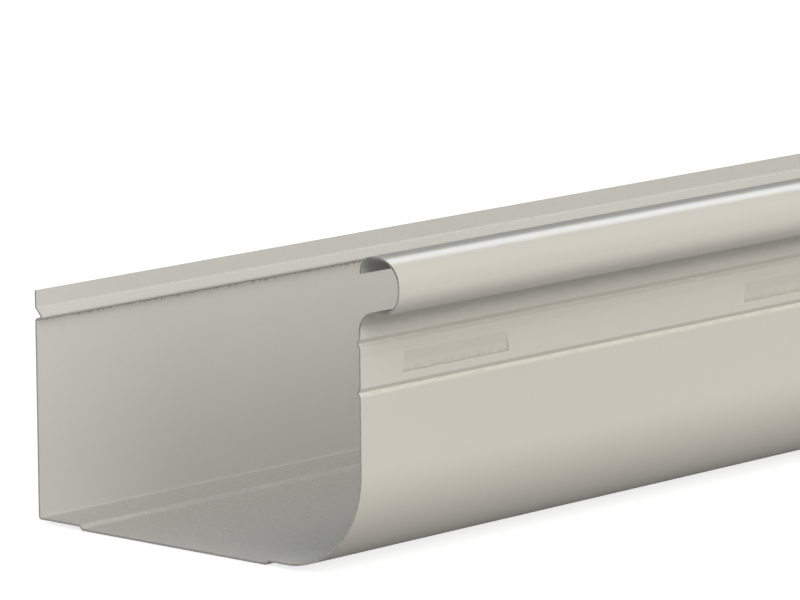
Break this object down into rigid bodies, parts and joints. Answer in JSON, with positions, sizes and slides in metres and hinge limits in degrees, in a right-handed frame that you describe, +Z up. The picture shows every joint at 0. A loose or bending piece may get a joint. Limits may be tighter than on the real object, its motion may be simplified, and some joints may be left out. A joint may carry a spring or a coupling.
{
  "type": "slotted quad gutter section",
  "caption": "Roll-formed sheet-steel eaves gutter: flat kinked back wall, rounded front corner, rolled front bead and a row of louvred overflow slots.",
  "frame": {"origin": "under the middle of the length, midway between the back face and the front of the bead, on the level the base panel rests on", "axes": "+X along the gutter, -Y towards the street side with the bead, +Y towards the fascia, +Z up"},
  "size_m": [2.4, 0.115, 0.074],
  "materials": {
    "coated_steel": "satin beige colour coat on both faces, bare thin edges"
  },
  "bodies": {
    "root": {"gutter": "coated_steel"}
  },
  "joints": []
}
